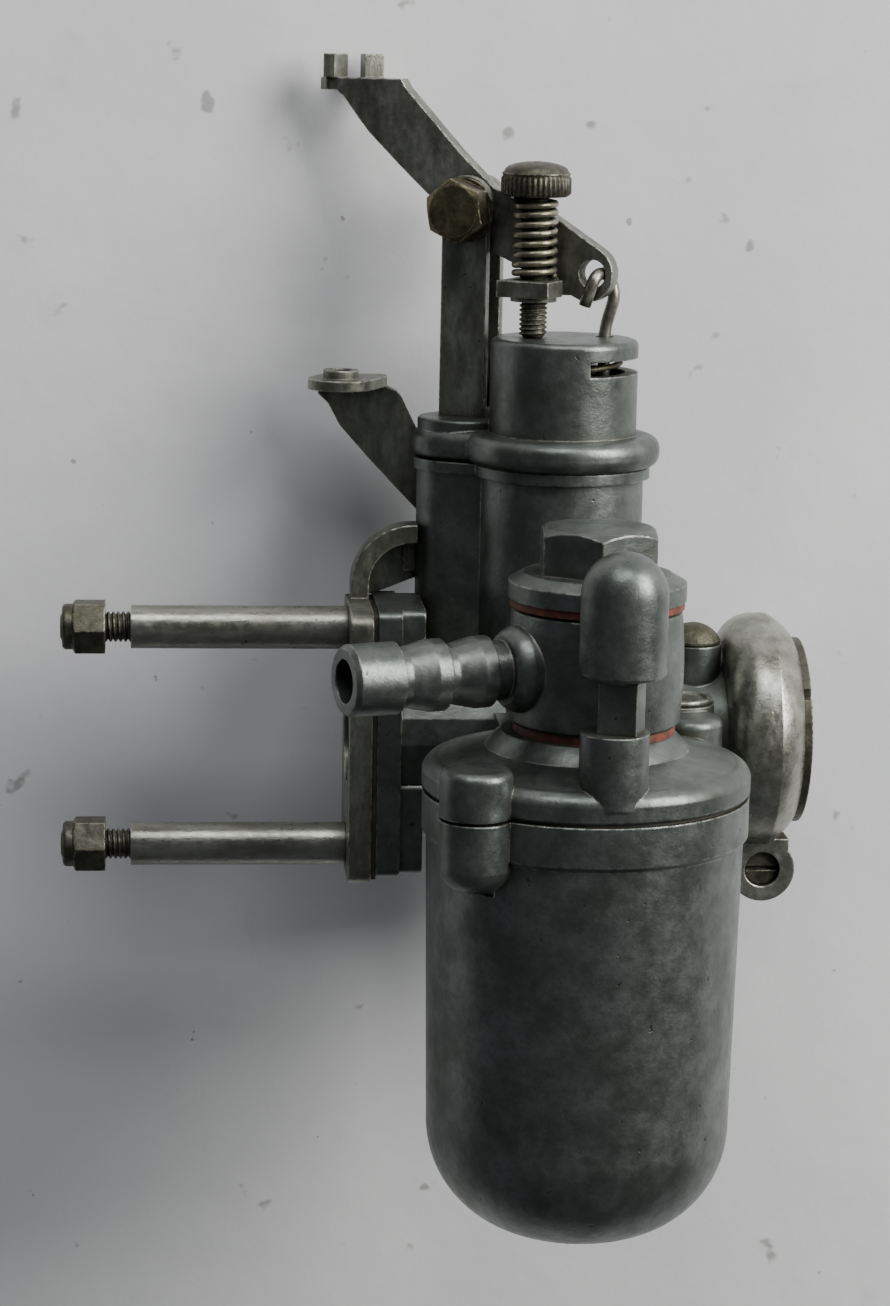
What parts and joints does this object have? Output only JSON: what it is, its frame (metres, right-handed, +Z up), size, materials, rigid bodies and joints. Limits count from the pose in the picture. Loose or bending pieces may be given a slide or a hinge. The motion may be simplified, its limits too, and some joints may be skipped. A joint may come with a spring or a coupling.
{
  "type": "slide carburettor",
  "caption": "Small side-bowl slide carburettor with engine studs, hose union, cable lever, idle screw and air bell.",
  "frame": {"origin": "midway between the two engine studs, on the plane of the outer ends of their spacer sleeves, where the engine side seats", "axes": "+X along the throat towards the air intake, +Z up along the throttle slide, -Y to the float chamber"},
  "size_m": [0.1204, 0.0921, 0.1782],
  "materials": {
    "cast_zinc": "satin, oxidised grey zinc die-casting",
    "bell_zinc": "brighter zinc die-casting, lightly polished by handling",
    "plated_steel": "worn zinc plate on pressed steel",
    "sleeve_steel": "turned steel tube",
    "dark_steel": "darkened, oily steel",
    "spring_steel": "tarnished spring wire",
    "dark_brass": "tarnished brass",
    "jet_brass": "clean brass",
    "wire_steel": "plated steel wire",
    "fibre_red": "red vulcanised fibre",
    "gasket_paper": "dark oil-soaked gasket paper",
    "white_nylon": "aged nylon",
    "float_foam": "yellowed moulded float plastic",
    "gauze_brass": "woven brass wire"
  },
  "bodies": {
    "carburettor_body": {"engine_studs": "dark_steel", "spacer_sleeves": "sleeve_steel", "lock_nuts": "dark_steel", "lock_nut_inserts": "white_nylon", "cable_stop_bracket": "plated_steel", "flange_gasket": "gasket_paper", "body_casting": "cast_zinc", "upper_core_plug": "plated_steel", "lower_core_plug": "bell_zinc", "float_bowl": "cast_zinc", "bowl_gasket": "gasket_paper", "bowl_screws": "dark_steel", "needle_seat": "jet_brass", "dip_tube": "jet_brass", "banjo_union": "cast_zinc", "fibre_washers": "fibre_red", "banjo_bolt": "cast_zinc", "fuel_strainer": "gauze_brass", "tickler_neck": "cast_zinc", "tickler_spring": "spring_steel", "slide_spring": "spring_steel", "needle_jet": "jet_brass", "main_jet": "jet_brass", "jet_plug": "jet_brass", "jet_plug_washer": "fibre_red", "slide_chamber_cap": "cast_zinc", "lever_bracket": "plated_steel", "lever_bracket_screw": "dark_steel", "pivot_bolt": "dark_brass", "pivot_nut": "dark_steel", "pivot_washers": "plated_steel", "air_bell": "bell_zinc", "bell_clamp_screw": "dark_steel", "filter_gauze": "gauze_brass", "gauze_snap_ring": "dark_steel"},
    "lever": {"throttle_lever": "plated_steel", "idle_screw_spring": "spring_steel"},
    "idle_screw": {"idle_screw": "dark_steel"},
    "slide": {"throttle_slide": "jet_brass", "jet_needle": "jet_brass", "needle_clip": "spring_steel", "link_wire": "wire_steel"},
    "tickler": {"tickler_cap": "cast_zinc", "tickler_rod": "wire_steel"},
    "float": {"chamber_float": "float_foam", "float_needle": "jet_brass", "float_clip": "spring_steel"}
  },
  "joints": [
    {"name": "throttle_lever_pivot", "type": "hinge", "parent": "carburettor_body", "child": "lever", "pos_m": [0.0551, 0.0105, 0.085], "axis": [-0.4695, -0.8829, 0], "range_deg": [0, 36]},
    {"name": "throttle_slide_lift", "type": "slide", "parent": "carburettor_body", "child": "slide", "axis": [0, 0, 1], "range_m": [0, 0.0143], "stiffness_N_per_m": 250, "springref_m": -0.02, "deforming": ["slide_spring"]},
    {"name": "idle_screw_turn", "type": "hinge", "parent": "lever", "child": "idle_screw", "pos_m": [0.06389, -0.00097, 0.07], "axis": [0, 0, 1], "continuous": true},
    {"name": "tickler_press", "type": "slide", "parent": "carburettor_body", "child": "tickler", "axis": [0, 0, -1], "range_m": [0, 0.003], "stiffness_N_per_m": 400, "springref_m": -0.004, "deforming": ["tickler_spring"]},
    {"name": "float_rise", "type": "slide", "parent": "carburettor_body", "child": "float", "axis": [0, 0, 1], "range_m": [0, 0.003]}
  ],
  "couplings": [
    {"joint": "throttle_lever_pivot", "follows": "throttle_slide_lift", "rad_per_m": 43.938}
  ]
}
